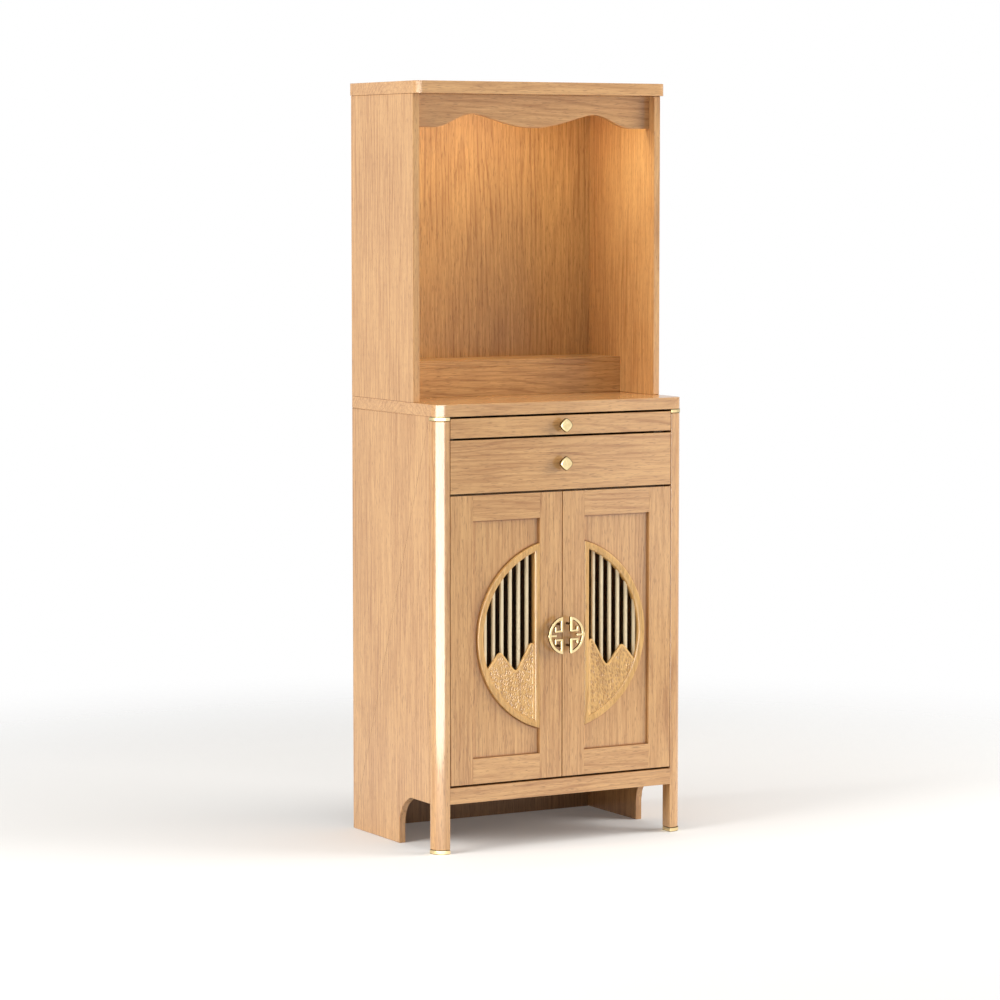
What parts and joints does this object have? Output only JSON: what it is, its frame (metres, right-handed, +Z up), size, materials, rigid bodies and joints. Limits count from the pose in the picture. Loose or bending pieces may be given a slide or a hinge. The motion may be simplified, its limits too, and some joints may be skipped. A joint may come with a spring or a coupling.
{
  "type": "household altar cabinet",
  "caption": "Tall oak altar cabinet: open niche with scalloped valance and riser over a base with pull-out tray, drawer and lattice half-moon doors on brass-footed posts.",
  "frame": {"origin": "middle of the footprint at floor level, with the knobs and handles counted in the depth", "axes": "+Z up, -Y the front with the doors, +X to the right of someone facing the front"},
  "size_m": [0.604, 0.4, 1.6],
  "materials": {
    "oak": "satin lacquered oak veneer",
    "golden_oak": "lighter golden carved wood, satin",
    "brass": "polished pale brass",
    "light_diffuser": "warm frosted diffuser"
  },
  "bodies": {
    "root": {"cap_board": "oak", "upper_left_side": "oak", "upper_right_side": "oak", "upper_back_panel": "oak", "valance": "oak", "niche_light": "light_diffuser", "riser_front": "oak", "riser_top": "oak", "counter_board": "oak", "front_left_post": "oak", "front_right_post": "oak", "left_post_collar": "brass", "right_post_collar": "brass", "left_post_foot": "brass", "right_post_foot": "brass", "lower_left_side": "oak", "lower_right_side": "oak", "lower_back_panel": "oak", "bottom_rail": "oak", "bottom_panel": "oak", "divider_panel": "oak", "left_tray_runner": "oak", "right_tray_runner": "oak"},
    "tray": {"tray_front": "oak", "tray_board": "oak", "tray_knob": "brass"},
    "drawer": {"drawer_front": "oak", "drawer_left_side": "oak", "drawer_right_side": "oak", "drawer_back": "oak", "drawer_bottom": "oak", "drawer_knob": "brass"},
    "left_door": {"left_door_inner_stile": "oak", "left_door_outer_stile": "oak", "left_door_top_rail": "oak", "left_door_bottom_rail": "oak", "left_door_panel": "oak", "left_moon_frame": "golden_oak", "left_mountain_board": "golden_oak", "left_slat_1": "golden_oak", "left_slat_2": "golden_oak", "left_slat_3": "golden_oak", "left_slat_4": "golden_oak", "left_slat_5": "golden_oak", "left_slat_6": "golden_oak", "left_door_handle": "brass"},
    "right_door": {"right_door_inner_stile": "oak", "right_door_outer_stile": "oak", "right_door_top_rail": "oak", "right_door_bottom_rail": "oak", "right_door_panel": "oak", "right_moon_frame": "golden_oak", "right_mountain_board": "golden_oak", "right_slat_1": "golden_oak", "right_slat_2": "golden_oak", "right_slat_3": "golden_oak", "right_slat_4": "golden_oak", "right_slat_5": "golden_oak", "right_slat_6": "golden_oak", "right_door_handle": "brass"}
  },
  "joints": [
    {"name": "tray_slide", "type": "slide", "parent": "root", "child": "tray", "axis": [0, -1, 0], "range_m": [0, 0.22]},
    {"name": "drawer_slide", "type": "slide", "parent": "root", "child": "drawer", "axis": [0, -1, 0], "range_m": [0, 0.24]},
    {"name": "left_door_hinge", "type": "hinge", "parent": "root", "child": "left_door", "pos_m": [-0.267, -0.18, 0.444], "axis": [0, 0, -1], "range_deg": [0, 105]},
    {"name": "right_door_hinge", "type": "hinge", "parent": "root", "child": "right_door", "pos_m": [0.267, -0.18, 0.444], "axis": [0, 0, 1], "range_deg": [0, 105]}
  ]
}
